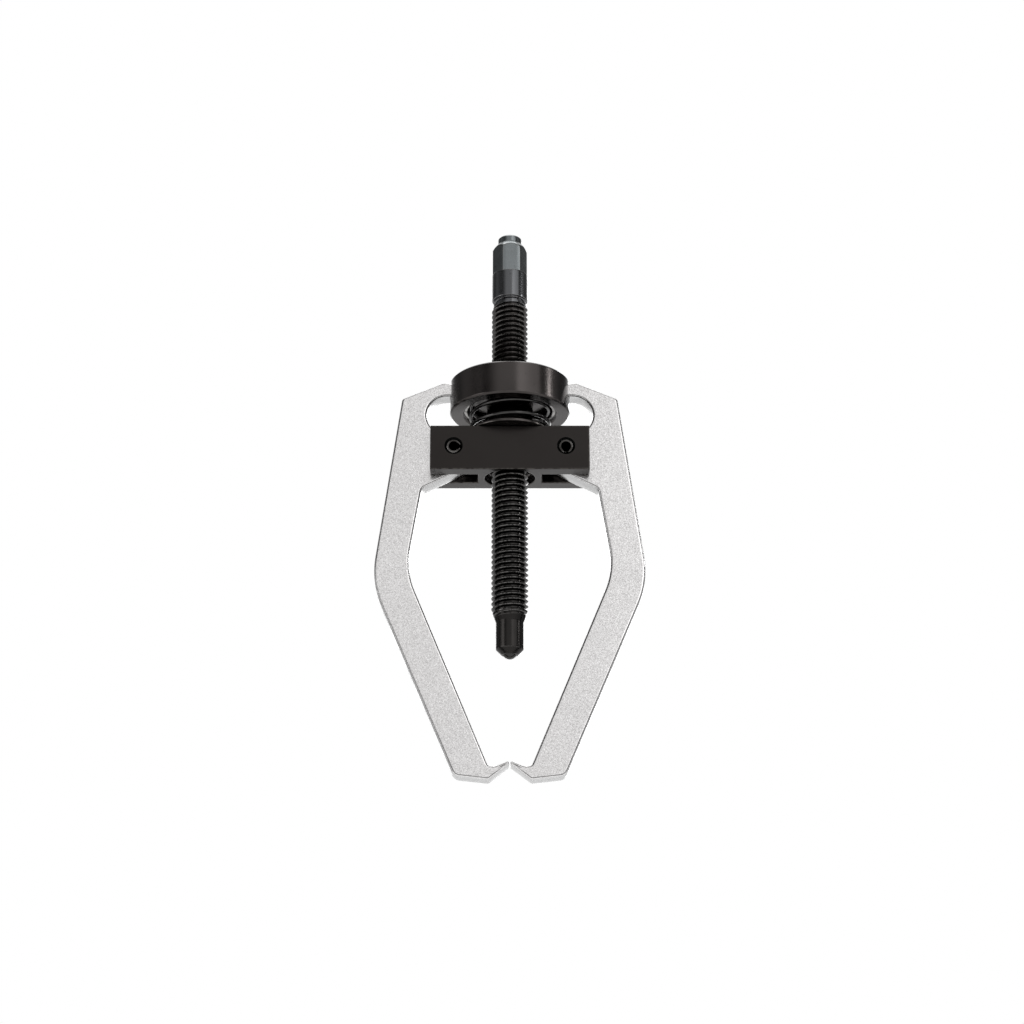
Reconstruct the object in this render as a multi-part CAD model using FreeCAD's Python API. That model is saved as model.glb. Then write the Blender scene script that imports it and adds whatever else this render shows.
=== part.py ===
import FreeCAD, Part
import math
import os

# Two-leg puller with a screw, closed by a sprung ring. +Z runs up the screw,
# the origin lies on the screw axis at the underside of the jaws. All in mm.
V = FreeCAD.Vector

# overall
reach = 100.0             # underside of the crosshead above the jaw undersides
tip_depth = 59.4          # end of the screw below the underside of the crosshead

# screw thread (M12)
# each turn is a closed groove, and the bush has a plain bore over the crests
thread_d = 12.0
pitch = 1.75
crest_cut = 0.07          # crest below the nominal radius
root_depth = 1.05         # from crest to root
crest_flat = 0.22
root_flat = 0.36
thread_fit = 0.06         # radial gap of the crests in the bush

# screw
pin_d = 8.9               # plain end below the thread
pin_length = 8.85
tip_chamfer = 1.8
tip_face_d = 5.2
taper_length = 4.25
thread_length = 104.9
relief_d = 10.8
relief_length = 2.5
collar_d = 11.75
collar_length = 9.5
hex_flats = 10.0
hex_length = 9.1
hex_cone_length = 2.3
hex_turn = 6.0
stub_d = 7.8
stub_length = 2.3
stub_chamfer = 0.5
small_chamfer = 0.3
ball_d = 5.0
ball_proud = 1.3
ball_gap = 0.05

# threaded bush
bush_wall = 1.5
bush_length = 35.5
bush_flange = 0.5
flange_recess = 2.0       # foot of the bush above the underside of the crosshead
flange_height = 1.6
flange_gap = 0.1
nut_length = 18.0
bush_bore_gap = 0.3
bush_chamfer = 0.6
bush_fit = 0.01

# legs
leg_thickness = 7.0
leg_edge = 0.5            # rounding of the forged edges
pivot_from_bush = 10.55   # from the outside of the bush to the pivot
pivot_height = 8.0        # pivot above the underside of the crosshead
lobe_r = 6.6
notch_dx = 2.35           # centre of the notch, from the pivot
notch_dz = 13.0
hook_tip = 1.85           # underside of the hook's tip, inside the pivot
hook_tip_top = 0.05
hook_height = 4.1
hook_peak_x = 3.35
hook_peak_height = 4.9
head_corner_x = 17.05     # outer top corner, from the pivot
head_corner_z = 18.7
bend_out = 43.98          # outer bend of the leg, from the screw axis
bend_out_z = 64.1
bend_out_r = 30.0
bend_in = 32.9
bend_in_z = 67.9
bend_in_r = 26.0
shoulder_x = 10.3         # inner shoulder, from the pivot
shoulder_z = -12.5
shoulder_r = 2.5
jaw_half_gap = 0.15
claw_low = 5.0            # claw's blunt face, from and to
claw_top = 6.05
claw_r = 0.5
grip_x = 4.8
grip_z = 4.3
grip_r = 3.0
jaw_root_x = 6.7
jaw_root_z = 4.45
jaw_root_r = 1.2
heel_x = 17.3
heel_z = 1.22
heel_r = 3.0
jaw_floor_x = 6.6
jaw_floor_r = 1.0

# pivot pins (slotted spring pins)
pivot_d = 4.5
pivot_wall = 0.85
pivot_slit = 0.8
pivot_recess = 0.3
pivot_chamfer = 0.3
pivot_fit = 0.01
leg_fit = 0.08            # radial running gap of a leg on its pin

# crosshead
head_length = 51.2
head_height = 15.0
head_wall = 5.2           # cheek beside a leg
leg_gap = 0.3             # gap from a leg to the slot's side
slot_end_gap = 1.15       # from the leg's lobe to the slot's closed end
head_edge = 0.4
hole_chamfer = 0.45

# closing ring, its spring and washer
hook_gap = 0.3            # from the ring's slot floor to the hook
ring_height = 11.05
ring_slot_depth = 5.94
ring_slot_gap = 0.5
ring_web = 1.7
ring_wall = 4.6
ring_edge = 0.4
ring_fit = 0.1
spring_from_bush = 5.25   # from the outside of the bush to the wire's centre
wire_d = 1.3
spring_room = 1.5         # from the outside of the spring to the ring's cup
spring_turns = 1.8
spring_start = 150.0
spring_seat_gap = 0.05
washer_thickness = 0.8
washer_bore_gap = 0.2
washer_over = 0.1
snap_height = 1.0
snap_from_mouth = 0.9
snap_groove = 0.5
snap_inward = 1.0
snap_gap = 6.0
snap_fit = 0.05

# derived
thread_r = thread_d / 2
crest_r = thread_r - crest_cut
bush_r = thread_r + bush_wall
bush_foot = reach + flange_recess
flange_top = bush_foot + flange_height
pivot_x = bush_r + pivot_from_bush
pivot_z = reach + pivot_height
slot_end_x = pivot_x - lobe_r - slot_end_gap
leg_slot = leg_thickness + 2 * leg_gap
head_depth = leg_slot + 2 * head_wall
head_top = reach + head_height
notch_x = pivot_x + notch_dx
notch_z = pivot_z + notch_dz
notch_r = math.hypot(notch_dx, notch_dz) - lobe_r
hook_z = notch_z + notch_r
slot_floor = hook_z - hook_gap
ring_top = slot_floor + ring_slot_depth
ring_bottom = ring_top - ring_height
cup_top = slot_floor - ring_web
spring_r = bush_r + spring_from_bush
cup_r = spring_r + wire_d / 2 + spring_room
ring_r = cup_r + ring_wall
washer_top = head_top + washer_thickness
flange_r = bush_r + bush_flange
screw_tip = reach - tip_depth
pin_top = screw_tip + tip_chamfer + pin_length
thread_start = pin_top + taper_length
relief_start = thread_start + thread_length
collar_start = relief_start + relief_length
hex_start = collar_start + collar_length
cone_start = hex_start + hex_length
stub_start = cone_start + hex_cone_length
screw_top = stub_start + stub_length
ball_z = screw_tip - ball_proud + ball_d / 2


def cylinder(radius, low, high, x=0.0):
    return Part.makeCylinder(radius, high - low, V(x, 0, low))


def turned(points):
    """Solid of revolution about Z from (radius, z) corners."""
    corners = [V(radius, 0, z) for radius, z in points]
    face = Part.Face(Part.makePolygon(corners + corners[:1]))
    return face.revolve(V(0, 0, 0), V(0, 0, 1), 360)


def drilled_along_y(radius, half_length, x, z):
    return Part.makeCylinder(radius, 2 * half_length, V(x, -half_length, z), V(0, 1, 0))


def block(x0, x1, y0, y1, z0, z1):
    return Part.makeBox(x1 - x0, y1 - y0, z1 - z0, V(x0, y0, z0))


def thread_corners(low, high):
    """Profile corners of whole thread turns between two heights."""
    turns = math.floor((high - low) / pitch)
    flank = (pitch - crest_flat - root_flat) / 2
    corners = []
    for i in range(turns):
        z = low + i * pitch
        corners.append((crest_r, z + crest_flat))
        corners.append((crest_r - root_depth, z + crest_flat + flank))
        corners.append((crest_r - root_depth, z + crest_flat + flank + root_flat))
        corners.append((crest_r, z + pitch))
    return corners


def screw_blank():
    tip_r = tip_face_d / 2
    pin_r = pin_d / 2
    collar_r = collar_d / 2
    lower = [
        (0, screw_tip),
        (tip_r, screw_tip),
        (pin_r, screw_tip + tip_chamfer),
        (pin_r, pin_top),
        (crest_r, thread_start),
    ]
    upper = [
        (crest_r, relief_start),
        (relief_d / 2, relief_start),
        (relief_d / 2, collar_start),
        (collar_r - small_chamfer, collar_start),
        (collar_r, collar_start + small_chamfer),
        (collar_r, hex_start - small_chamfer),
        (collar_r - small_chamfer, hex_start),
        (0, hex_start),
    ]
    return turned(lower + thread_corners(thread_start, relief_start) + upper)


def screw_drive():
    """Hexagon with a coned top that runs into the centring stub."""
    corner_r = hex_flats / 2 / math.cos(math.radians(30))
    corners = []
    for i in range(6):
        angle = math.radians(hex_turn + 60 * i)
        corners.append(V(corner_r * math.cos(angle), corner_r * math.sin(angle), hex_start))
    prism = Part.Face(Part.makePolygon(corners + corners[:1])).extrude(V(0, 0, screw_top - hex_start))
    stub_r = stub_d / 2
    turned_top = turned([
        (0, hex_start),
        (corner_r, hex_start),
        (corner_r, cone_start),
        (stub_r, stub_start),
        (stub_r, screw_top - stub_chamfer),
        (stub_r - stub_chamfer, screw_top),
        (0, screw_top),
    ])
    return prism.common(turned_top)


def spindle():
    socket = Part.makeSphere(ball_d / 2 + ball_gap, V(0, 0, ball_z))
    return screw_blank().fuse(screw_drive()).cut(socket)


def pressure_ball():
    return Part.makeSphere(ball_d / 2, V(0, 0, ball_z))


def threaded_bush():
    bore_r = thread_r + bush_bore_gap
    crest = crest_r + thread_fit
    nut_top = bush_foot + nut_length
    top = bush_foot + bush_length
    return turned([
        (crest, bush_foot + bush_chamfer),
        (crest + bush_chamfer, bush_foot),
        (flange_r, bush_foot),
        (flange_r, flange_top),
        (bush_r, flange_top),
        (bush_r, top - bush_chamfer),
        (bush_r - bush_chamfer, top),
        (bore_r, top),
        (bore_r, nut_top),
        (crest, nut_top - (bore_r - crest)),
    ])


def rounded_chain(points):
    """Edges through (x, z, radius) corners, each corner rounded to its radius."""
    edges = []
    last = V(points[0][0], 0, points[0][1])
    for i in range(1, len(points) - 1):
        corner = V(points[i][0], 0, points[i][1])
        radius = points[i][2]
        back = (V(points[i - 1][0], 0, points[i - 1][1]) - corner).normalize()
        ahead = (V(points[i + 1][0], 0, points[i + 1][1]) - corner).normalize()
        half = back.getAngle(ahead) / 2
        reach_back = radius / math.tan(half)
        middle = (back + ahead).normalize()
        enter = corner + back * reach_back
        leave = corner + ahead * reach_back
        top = corner + middle * (radius / math.sin(half) - radius)
        edges.append(Part.LineSegment(last, enter).toShape())
        edges.append(Part.Arc(enter, top, leave).toShape())
        last = leave
    end = V(points[-1][0], 0, points[-1][1])
    edges.append(Part.LineSegment(last, end).toShape())
    return edges


def lobe_tangent(x, z):
    """Where the line from (x, z) touches the lower side of the lobe."""
    dx = x - pivot_x
    dz = z - pivot_z
    angle = math.atan2(dz, dx) - math.acos(lobe_r / math.hypot(dx, dz))
    return V(pivot_x + lobe_r * math.cos(angle), 0, pivot_z + lobe_r * math.sin(angle))


def leg_outline():
    """Closed outline of the right leg in the XZ plane."""
    shoulder = (pivot_x + shoulder_x, pivot_z + shoulder_z, shoulder_r)
    lobe_low = lobe_tangent(shoulder[0], shoulder[1])
    corners = [
        (notch_x, hook_z),
        (pivot_x - hook_tip, hook_z, 0.8),
        (pivot_x - hook_tip_top, hook_z + hook_height, 1.0),
        (pivot_x + hook_peak_x, hook_z + hook_peak_height, 2.0),
        (pivot_x + head_corner_x, pivot_z + head_corner_z, 1.0),
        (bend_out, bend_out_z, bend_out_r),
        (heel_x, heel_z, heel_r),
        (jaw_floor_x, 0, jaw_floor_r),
        (jaw_half_gap, claw_low, claw_r),
        (jaw_half_gap, claw_top, claw_r),
        (grip_x, grip_z, grip_r),
        (jaw_root_x, jaw_root_z, jaw_root_r),
        (bend_in, bend_in_z, bend_in_r),
        shoulder,
        (lobe_low.x, lobe_low.z),
    ]
    edges = rounded_chain(corners)
    span = math.hypot(notch_dx, notch_dz)
    meet = V(pivot_x + lobe_r * notch_dx / span, 0, pivot_z + lobe_r * notch_dz / span)
    lobe_side = V(pivot_x - lobe_r, 0, pivot_z)
    notch_side = V(notch_x + notch_r, 0, notch_z)
    edges.append(Part.Arc(lobe_low, lobe_side, meet).toShape())
    edges.append(Part.Arc(meet, notch_side, V(notch_x, 0, hook_z)).toShape())
    return Part.Wire(Part.__sortEdges__(edges))


def right_leg():
    half = leg_thickness / 2
    face = Part.Face(leg_outline())
    face.translate(V(0, -half, 0))
    plate = face.extrude(V(0, leg_thickness, 0))
    rim = [e for e in plate.Edges if abs(abs(e.CenterOfMass.y) - half) < 1e-6]
    leg = plate.makeFillet(leg_edge, rim)
    return leg.cut(drilled_along_y(pivot_d / 2 + leg_fit, leg_thickness, pivot_x, pivot_z))


def mirrored(shape):
    return shape.mirror(V(0, 0, 0), V(1, 0, 0))


def pivot_pin(x, slit_direction):
    """Rolled pin with a slit along its whole length."""
    outer = pivot_d / 2
    half = head_depth / 2 - pivot_recess
    tube = drilled_along_y(outer, half, x, pivot_z)
    tube = tube.makeChamfer(pivot_chamfer, [e for e in tube.Edges if len(e.Vertexes) == 1])
    tube = tube.cut(drilled_along_y(outer - pivot_wall, half + 1, x, pivot_z))
    slit = block(0, 2 * outer, -head_depth, head_depth, -pivot_slit / 2, pivot_slit / 2)
    slit.rotate(V(0, 0, 0), V(0, 1, 0), slit_direction)
    slit.translate(V(x, 0, pivot_z))
    return tube.cut(slit)


def hole_mouth(x, side):
    """Cone that breaks the edge of a pivot hole on the front or rear face."""
    radius = pivot_d / 2 + pivot_fit
    start = V(x, side * (head_depth / 2 - hole_chamfer), pivot_z)
    return Part.makeCone(radius, radius + hole_chamfer, hole_chamfer, start, V(0, side, 0))


def crosshead():
    half = head_length / 2
    deep = head_depth / 2
    body = block(-half, half, -deep, deep, reach, head_top)
    body = body.makeChamfer(head_edge, body.Edges)
    for side in (-1, 1):
        ends = sorted((side * slot_end_x, side * (half + 1)))
        body = body.cut(block(ends[0], ends[1], -leg_slot / 2, leg_slot / 2, reach - 1, head_top + 1))
        x = side * pivot_x
        body = body.cut(drilled_along_y(pivot_d / 2 + pivot_fit, deep + 1, x, pivot_z))
        for face in (-1, 1):
            body = body.cut(hole_mouth(x, face))
    body = body.cut(cylinder(bush_r + bush_fit, reach - 1, head_top + 1))
    return body.cut(cylinder(flange_r + flange_gap, reach - 1, flange_top))


def spring_washer():
    outer = spring_r + wire_d / 2 + washer_over
    disc = cylinder(outer, head_top, washer_top)
    return disc.cut(cylinder(bush_r + washer_bore_gap, head_top - 1, washer_top + 1))


def closing_ring():
    e = ring_edge
    ring = turned([
        (bush_r + ring_fit, cup_top),
        (cup_r, cup_top),
        (cup_r, ring_bottom + e),
        (cup_r + e, ring_bottom),
        (ring_r - e, ring_bottom),
        (ring_r, ring_bottom + e),
        (ring_r, ring_top - e),
        (ring_r - e, ring_top),
        (bush_r + ring_fit + e, ring_top),
        (bush_r + ring_fit, ring_top - e),
    ])
    half = leg_thickness / 2 + ring_slot_gap
    ring = ring.cut(block(-ring_r - 1, ring_r + 1, -half, half, slot_floor, ring_top + 1))
    low = ring_bottom + snap_from_mouth
    groove = cylinder(cup_r + snap_groove, low, low + snap_height)
    return ring.cut(groove)


def spring_retaining_ring():
    outer = cup_r + snap_groove - snap_fit
    low = ring_bottom + snap_from_mouth + snap_fit
    high = low + snap_height - 2 * snap_fit
    ring = cylinder(outer, low, high).cut(cylinder(cup_r - snap_inward, low - 1, high + 1))
    return ring.cut(block(-snap_gap / 2, snap_gap / 2, 0, outer + 1, low - 1, high + 1))


def ring_spring():
    low = washer_top + wire_d / 2 + spring_seat_gap
    high = cup_top - wire_d / 2 - spring_seat_gap
    rise = (high - low) / spring_turns
    path = Part.makeHelix(rise, high - low, spring_r)
    path.translate(V(0, 0, low))
    lean = V(0, 2 * math.pi * spring_r, rise)
    section = Part.Wire(Part.makeCircle(wire_d / 2, V(spring_r, 0, low), lean))
    sweep = Part.BRepOffsetAPI.MakePipeShell(Part.Wire(path.Edges))
    sweep.setFrenetMode(True)
    sweep.add(section)
    sweep.build()
    sweep.makeSolid()
    spring = sweep.shape()
    spring.rotate(V(0, 0, 0), V(0, 0, 1), spring_start)
    return spring


def solid_of(shape):
    """The single solid of a boolean result."""
    solids = shape.Solids
    if len(solids) != 1:
        raise RuntimeError("expected one solid, found %d" % len(solids))
    return solids[0]


def main():
    os.makedirs("parts", exist_ok=True)
    leg = right_leg()
    nodes = {
        "crosshead": crosshead(),
        "threaded_bush": threaded_bush(),
        "spindle": spindle(),
        "pressure_ball": pressure_ball(),
        "right_leg": leg,
        "left_leg": mirrored(leg),
        "right_pivot_pin": pivot_pin(pivot_x, 90),
        "left_pivot_pin": pivot_pin(-pivot_x, 0),
        "closing_ring": closing_ring(),
        "spring_retaining_ring": spring_retaining_ring(),
        "ring_spring": ring_spring(),
        "spring_washer": spring_washer(),
    }
    for name in sorted(nodes):
        solid = solid_of(nodes[name])
        solid.exportStep("parts/%s.step" % name)
        box = solid.BoundBox
        print("%-22s valid=%s volume=%.1f z %.2f..%.2f x %.2f..%.2f" % (
            name, solid.isValid(), solid.Volume, box.ZMin, box.ZMax, box.XMin, box.XMax))


main()
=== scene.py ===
import math
import bpy
import bmesh
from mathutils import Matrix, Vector


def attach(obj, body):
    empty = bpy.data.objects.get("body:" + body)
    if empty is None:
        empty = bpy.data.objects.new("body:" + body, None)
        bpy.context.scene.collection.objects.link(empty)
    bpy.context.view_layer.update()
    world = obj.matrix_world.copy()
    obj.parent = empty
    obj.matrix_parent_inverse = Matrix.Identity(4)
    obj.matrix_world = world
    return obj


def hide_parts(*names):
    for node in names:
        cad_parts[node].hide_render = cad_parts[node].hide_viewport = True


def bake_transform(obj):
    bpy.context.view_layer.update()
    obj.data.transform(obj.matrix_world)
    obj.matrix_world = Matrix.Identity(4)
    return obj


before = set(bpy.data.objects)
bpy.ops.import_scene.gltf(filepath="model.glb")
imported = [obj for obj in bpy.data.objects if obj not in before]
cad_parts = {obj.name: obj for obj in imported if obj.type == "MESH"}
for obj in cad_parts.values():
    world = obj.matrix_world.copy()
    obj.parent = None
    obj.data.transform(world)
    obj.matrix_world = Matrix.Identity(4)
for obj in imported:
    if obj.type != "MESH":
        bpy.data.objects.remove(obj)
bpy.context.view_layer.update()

mm = 0.001
print("frame loaded:", len(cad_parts), "nodes")


# mesh helpers
def addMesh(name, verts, faces):
    mesh = bpy.data.meshes.new(name)
    mesh.from_pydata([Vector(v) * mm for v in verts], [], faces)
    obj = bpy.data.objects.new(name, mesh)
    bpy.context.scene.collection.objects.link(obj)
    return obj


def cleanMesh(mesh, gap=0.0008):
    # merges doubles, drops what collapsed and turns the faces outward
    bm = bmesh.new()
    bm.from_mesh(mesh)
    bmesh.ops.remove_doubles(bm, verts=bm.verts, dist=gap * mm)
    bmesh.ops.dissolve_degenerate(bm, edges=bm.edges, dist=gap * mm * 0.5)
    bmesh.ops.recalc_face_normals(bm, faces=bm.faces)
    bm.to_mesh(mesh)
    bm.free()


def evaluated(obj):
    # replaces the object's mesh by what its modifiers make of it
    graph = bpy.context.evaluated_depsgraph_get()
    mesh = bpy.data.meshes.new_from_object(obj.evaluated_get(graph))
    obj.modifiers.clear()
    old = obj.data
    obj.data = mesh
    bpy.data.meshes.remove(old)
    mesh.name = obj.name


def markWear(mesh, lowAngle=9.0, highAngle=32.0):
    # point attribute: 1 on worn corners, 0 on flat or gently curved skin
    bm = bmesh.new()
    bm.from_mesh(mesh)
    values = [0.0] * len(bm.verts)
    for edge in bm.edges:
        if len(edge.link_faces) == 2 and edge.is_convex:
            turn = math.degrees(edge.calc_face_angle(0.0))
            value = min(1.0, max(0.0, (turn - lowAngle) / (highAngle - lowAngle)))
            for vert in edge.verts:
                values[vert.index] = max(values[vert.index], value)
    bm.free()
    layer = mesh.attributes.new("wear", "FLOAT", "POINT")
    layer.data.foreach_set("value", values)


def markField(mesh, name, amount):
    # point attribute from 0 to 1, out of each point's place in mm and its normal
    values = [min(1.0, max(0.0, amount(v.co / mm, v.normal))) for v in mesh.vertices]
    layer = mesh.attributes.new(name, "FLOAT", "POINT")
    layer.data.foreach_set("value", values)


def smoothIslands(faces, angle):
    # runs of faces that meet at less than the angle, in the mesh's own order
    left = set(faces)
    islands = []
    for seed in faces:
        if seed not in left:
            continue
        left.discard(seed)
        island = [seed]
        for face in island:
            for edge in face.edges:
                if len(edge.link_faces) == 2 and edge.calc_face_angle(0.0) < angle:
                    near = [f for f in edge.link_faces if f in left]
                    left.difference_update(near)
                    island += near
        islands.append(island)
    return islands


def hemmed(obj, width=0.25, least=0.4, angle=12.0):
    # a narrow margin inside the rim of each wide face keeps the wear on the corners
    bm = bmesh.new()
    bm.from_mesh(obj.data)
    wide = [f for f in bm.faces if f.calc_area() > least * mm * max(e.calc_length() for e in f.edges)]
    for island in smoothIslands(wide, math.radians(angle)):
        bmesh.ops.inset_region(
            bm, faces=island, thickness=width * mm, use_boundary=True, use_even_offset=True)
    bm.to_mesh(obj.data)
    bm.free()


def dress(obj, material, sharp=38.0, hem=False):
    if hem:
        hemmed(obj)
    mesh = obj.data
    mesh.materials.clear()
    mesh.materials.append(material)
    for poly in mesh.polygons:
        poly.use_smooth = True
    mesh.set_sharp_from_angle(angle=math.radians(sharp))
    markWear(mesh)


def bevelled(obj, width, segments=3, angle=32.0):
    bevel = obj.modifiers.new("edges", "BEVEL")
    bevel.width = width * mm
    bevel.segments = segments
    bevel.limit_method = "ANGLE"
    bevel.angle_limit = math.radians(angle)
    bevel.use_clamp_overlap = True
    evaluated(obj)


def carved(obj, cutters):
    for cutter in cutters:
        cut = obj.modifiers.new("cut", "BOOLEAN")
        cut.operation = "DIFFERENCE"
        cut.solver = "EXACT"
        cut.object = cutter
    evaluated(obj)
    for cutter in cutters:
        mesh = cutter.data
        bpy.data.objects.remove(cutter)
        bpy.data.meshes.remove(mesh)
    cleanMesh(obj.data)


def turnedRings(points, segments):
    # verts and faces of a turned body from (radius, z) corners
    verts = []
    faces = []
    rings = []
    for radius, z in points:
        if radius < 1e-6:
            rings.append([len(verts)] * segments)
            verts.append((0, 0, z))
            continue
        rings.append(list(range(len(verts), len(verts) + segments)))
        for i in range(segments):
            angle = 2 * math.pi * i / segments
            verts.append((radius * math.cos(angle), radius * math.sin(angle), z))
    for low, high in zip(rings, rings[1:]):
        for i in range(segments):
            j = (i + 1) % segments
            corners = []
            for corner in (low[i], low[j], high[j], high[i]):
                if corner not in corners:
                    corners.append(corner)
            if len(corners) > 2:
                faces.append(corners)
    return verts, faces


def turned(name, points, segments=128, closed=False):
    if closed:
        points = points + points[:1]
    verts, faces = turnedRings(points, segments)
    obj = addMesh(name, verts, faces)
    cleanMesh(obj.data)
    return obj


def arcRun(centre, radius, start, sweep, steps):
    # points along an arc, both its ends included
    return [(centre[0] + radius * math.cos(start + sweep * k / steps),
             centre[1] + radius * math.sin(start + sweep * k / steps)) for k in range(steps + 1)]


def roundedCorner(points, radius, steps=4):
    # breaks every inner corner of an (r, z) profile with a small arc
    out = [points[0]]
    for before, corner, after in zip(points, points[1:], points[2:]):
        c = Vector(corner)
        back = Vector(before) - c
        ahead = Vector(after) - c
        most = 0.45
        size = min(radius, most * back.length, most * ahead.length)
        start = c + back.normalized() * size
        end = c + ahead.normalized() * size
        for i in range(steps + 1):
            t = i / steps
            p = (1 - t) ** 2 * start + 2 * t * (1 - t) * c + t ** 2 * end
            out.append((p.x, p.y))
    out.append(points[-1])
    return out


def slab(name, outline, profile, axis="Y", centre=(0.0, 0.0), insetScale=None, mitre=0.4):
    # closed body: the outline is drawn in and pushed along the axis, step by step
    count = len(outline)
    normals = []
    area = sum(a[0] * b[1] - b[0] * a[1] for a, b in zip(outline, outline[1:] + outline[:1]))
    side = 1 if area > 0 else -1
    for i in range(count):
        a = Vector(outline[i - 1])
        b = Vector(outline[i])
        c = Vector(outline[(i + 1) % count])
        d0 = (b - a).normalized()
        d1 = (c - b).normalized()
        n = Vector((-(d0.y + d1.y), d0.x + d1.x)).normalized() * side
        normals.append(n / max(mitre, math.sqrt(max(0.0, (1 + d0.dot(d1)) / 2))))
    verts = []
    faces = []
    for level, inset in profile:
        for i in range(count):
            scale = insetScale[i] if insetScale else 1.0
            p = Vector(outline[i]) + normals[i] * inset * scale + Vector(centre)
            verts.append((p.x, level, p.y) if axis == "Y" else (p.x, p.y, level))
    for k in range(len(profile) - 1):
        for i in range(count):
            j = (i + 1) % count
            faces.append((k * count + i, k * count + j, (k + 1) * count + j, (k + 1) * count + i))
    faces.append(tuple(range(count)))
    faces.append(tuple((len(profile) - 1) * count + i for i in range(count)))
    obj = addMesh(name, verts, faces)
    bm = bmesh.new()
    bm.from_mesh(obj.data)
    caps = [f for f in bm.faces if len(f.verts) > 4]
    bmesh.ops.triangulate(bm, faces=caps, ngon_method="EAR_CLIP")
    bmesh.ops.recalc_face_normals(bm, faces=bm.faces)
    bm.to_mesh(obj.data)
    bm.free()
    return obj


def box(x0, x1, y0, y1, z0, z1):
    verts = [(x, y, z) for x in (x0, x1) for y in (y0, y1) for z in (z0, z1)]
    faces = [(0, 1, 3, 2), (4, 6, 7, 5), (0, 4, 5, 1), (2, 3, 7, 6), (0, 2, 6, 4), (1, 5, 7, 3)]
    obj = addMesh("cutter", verts, faces)
    cleanMesh(obj.data)
    return obj


def post(radius, low, high, segments=96):
    # upright round cutter on the Z axis
    return turned("cutter", [(0, low), (radius, low), (radius, high), (0, high)], segments)


def drum(points, x, z, segments=48):
    # turned cutter laid along Y through (x, z); points are (radius, y)
    verts, faces = turnedRings(points, segments)
    obj = addMesh("cutter", [(v[0] + x, v[2], v[1] + z) for v in verts], faces)
    cleanMesh(obj.data)
    return obj


# node helpers, for shaders and for geometry
def link(tree, a, b):
    tree.links.new(a, b)


def feed(tree, value, socket):
    # a number is set on the socket, an output is linked to it
    if isinstance(value, (int, float)):
        socket.default_value = value
    else:
        link(tree, value, socket)


def mathNode(tree, operation, *values, clamp=False):
    node = tree.nodes.new("ShaderNodeMath")
    node.operation = operation
    node.use_clamp = clamp
    for socket, value in zip(node.inputs, values):
        feed(tree, value, socket)
    return node.outputs[0]


def rangeNode(tree, value, low, high, toLow=0.0, toHigh=1.0, curve="SMOOTHSTEP"):
    node = tree.nodes.new("ShaderNodeMapRange")
    node.interpolation_type = curve
    for label, v in (("Value", value), ("From Min", low), ("From Max", high),
                     ("To Min", toLow), ("To Max", toHigh)):
        feed(tree, v, node.inputs[label])
    return node.outputs["Result"]


# shader groups
def newGroup(name, inputs, outputs):
    tree = bpy.data.node_groups.new(name, "ShaderNodeTree")
    for label, value in inputs:
        socket = tree.interface.new_socket(label, in_out="INPUT", socket_type="NodeSocketFloat")
        socket.default_value = value
    for label in outputs:
        tree.interface.new_socket(label, in_out="OUTPUT", socket_type="NodeSocketFloat")
    return tree, tree.nodes.new("NodeGroupInput"), tree.nodes.new("NodeGroupOutput")


def noiseNode(tree, vector, scale, detail, rough):
    node = tree.nodes.new("ShaderNodeTexNoise")
    link(tree, vector, node.inputs["Vector"])
    link(tree, scale, node.inputs["Scale"])
    node.inputs["Detail"].default_value = detail
    node.inputs["Roughness"].default_value = rough
    return node.outputs["Fac"]


def ownPlace(tree):
    # the part's own coordinates, whole and as X, Y and Z
    coords = tree.nodes.new("ShaderNodeTexCoord").outputs["Object"]
    split = tree.nodes.new("ShaderNodeSeparateXYZ")
    link(tree, coords, split.inputs[0])
    return coords, split.outputs


def mixed(tree, a, b, share):
    # the first value's share of the two
    first = mathNode(tree, "MULTIPLY", a, share)
    return mathNode(tree, "ADD", first, mathNode(tree, "MULTIPLY", b, 1.0 - share))


def buildGrain():
    # fine forged or blasted skin: peened grain, pits and broad unevenness
    tree, inp, out = newGroup("forgedGrain", [("Grain", 2600.0), ("Pits", 700.0), ("Swell", 60.0)],
                              ["Height", "Cloud", "Pit", "Fine"])
    coords = tree.nodes.new("ShaderNodeTexCoord").outputs["Object"]
    fine = noiseNode(tree, coords, inp.outputs["Grain"], detail=2.0, rough=0.6)
    swell = noiseNode(tree, coords, inp.outputs["Swell"], detail=3.0, rough=0.5)
    pitField = noiseNode(tree, coords, inp.outputs["Pits"], detail=2.0, rough=0.5)
    pit = rangeNode(tree, pitField, 0.66, 0.76)
    pitDepth = 0.35
    body = mixed(tree, fine, swell, 0.55)
    height = mathNode(tree, "SUBTRACT", body, mathNode(tree, "MULTIPLY", pit, pitDepth))
    link(tree, height, out.inputs["Height"])
    link(tree, swell, out.inputs["Cloud"])
    link(tree, pit, out.inputs["Pit"])
    link(tree, fine, out.inputs["Fine"])
    return tree


def buildTurning():
    # faint lathe lines round the part's own Z axis
    tree, inp, out = newGroup("turningLines", [("Lines", 5200.0), ("Chatter", 900.0)], ["Height"])
    coords, place = ownPlace(tree)
    xx = mathNode(tree, "MULTIPLY", place["X"], place["X"])
    yy = mathNode(tree, "MULTIPLY", place["Y"], place["Y"])
    radius = mathNode(tree, "SQRT", mathNode(tree, "ADD", xx, yy))
    join = tree.nodes.new("ShaderNodeCombineXYZ")
    link(tree, radius, join.inputs["X"])
    link(tree, place["Z"], join.inputs["Z"])
    lines = noiseNode(tree, join.outputs[0], inp.outputs["Lines"], detail=2.0, rough=0.7)
    chatter = noiseNode(tree, coords, inp.outputs["Chatter"], detail=2.0, rough=0.5)
    link(tree, mixed(tree, lines, chatter, 0.8), out.inputs["Height"])
    return tree


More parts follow.
